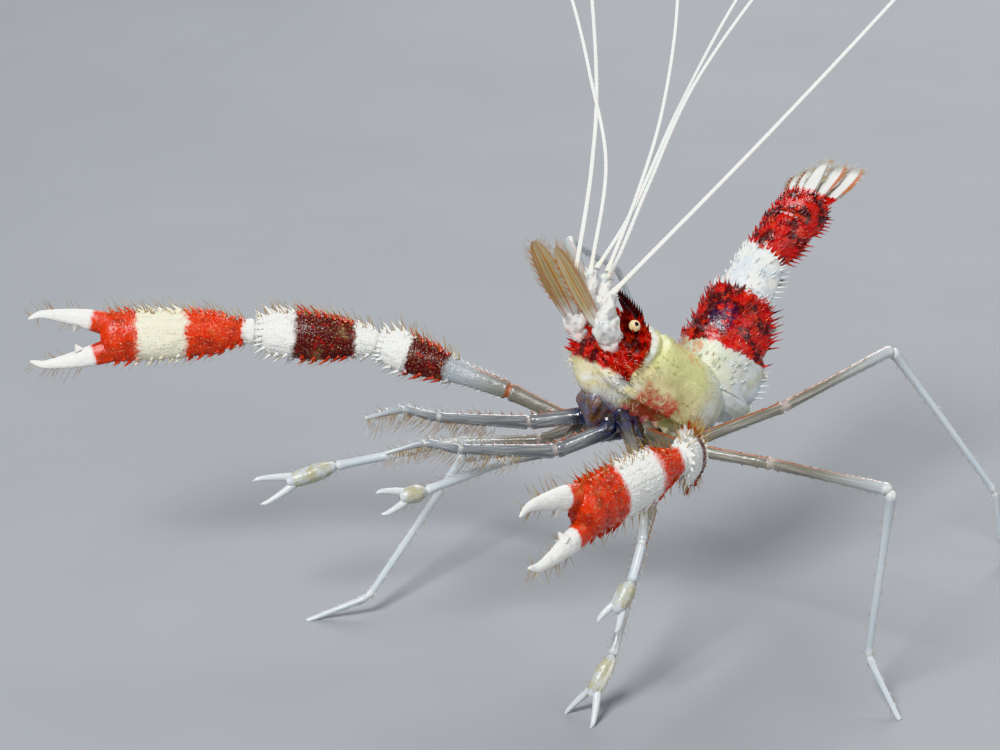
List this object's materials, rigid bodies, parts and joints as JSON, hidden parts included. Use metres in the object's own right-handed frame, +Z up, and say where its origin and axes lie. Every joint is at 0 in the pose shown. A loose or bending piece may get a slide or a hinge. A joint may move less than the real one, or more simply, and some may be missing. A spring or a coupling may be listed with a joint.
{
  "type": "banded coral shrimp",
  "caption": "Life-size still model of a banded coral shrimp on its walking legs, claws spread, abdomen raised and long white feelers swept up and back",
  "frame": {"origin": "on the floor, under the middle of the box around the whole animal, feelers included", "axes": "+Z is up. The great right claw points to -X and the raised tail to +X and +Y. The body faces -X, turned 30 degrees towards -Y, with its head raised 38 degrees"},
  "size_m": [0.1256, 0.1166, 0.1101],
  "materials": {
    "banded_shell": "satin shell banded red and white",
    "carapace_shell": "satin translucent cream shell with a red head",
    "white_shell": "satin white shell",
    "clear_shell": "clear greyish shell with orange edges",
    "eye": "glossy dark eye with a cream rim"
  },
  "bodies": {
    "root": {"walking_leg_4_left_upper": "clear_shell", "walking_leg_4_left_lower": "clear_shell", "walking_leg_5_left_upper": "clear_shell", "walking_leg_5_left_lower": "clear_shell", "walking_leg_4_right_upper": "clear_shell", "walking_leg_4_right_lower": "clear_shell", "walking_leg_5_right_upper": "clear_shell", "walking_leg_5_right_lower": "clear_shell", "pincer_leg_1_left_arm": "clear_shell", "pincer_leg_1_left_pincer": "clear_shell", "pincer_leg_2_left_arm": "clear_shell", "pincer_leg_2_left_pincer": "clear_shell", "pincer_leg_1_right_arm": "clear_shell", "pincer_leg_1_right_pincer": "clear_shell", "pincer_leg_2_right_arm": "clear_shell", "pincer_leg_2_right_pincer": "clear_shell", "claw_right_upper_arm": "banded_shell", "claw_right_wrist": "banded_shell", "claw_right_palm": "banded_shell", "claw_right_finger": "banded_shell", "claw_left_upper_arm": "banded_shell", "claw_left_wrist": "banded_shell", "claw_left_palm": "banded_shell", "claw_left_finger": "banded_shell", "mouth_limb_right": "clear_shell", "mouth_limb_left": "clear_shell", "carapace": "carapace_shell", "eye_left": "eye", "eye_right": "eye", "antennule_stalk_left": "white_shell", "antenna_stalk_left": "white_shell", "antenna_scale_left": "clear_shell", "antennule_stalk_right": "white_shell", "antenna_stalk_right": "white_shell", "antenna_scale_right": "clear_shell", "antenna_whip_left": "white_shell", "antenna_whip_right": "white_shell", "antennule_whip_outer_left": "white_shell", "antennule_whip_inner_left": "white_shell", "antennule_whip_outer_right": "white_shell", "antennule_whip_inner_right": "white_shell", "abdomen_ring_1": "banded_shell", "abdomen_ring_2": "banded_shell", "abdomen_ring_3": "banded_shell", "abdomen_ring_4": "banded_shell", "abdomen_ring_5": "banded_shell", "abdomen_ring_6": "banded_shell", "telson": "white_shell", "tail_blade_inner_left": "white_shell", "tail_blade_outer_left": "white_shell", "tail_blade_inner_right": "white_shell", "tail_blade_outer_right": "white_shell"}
  },
  "joints": []
}
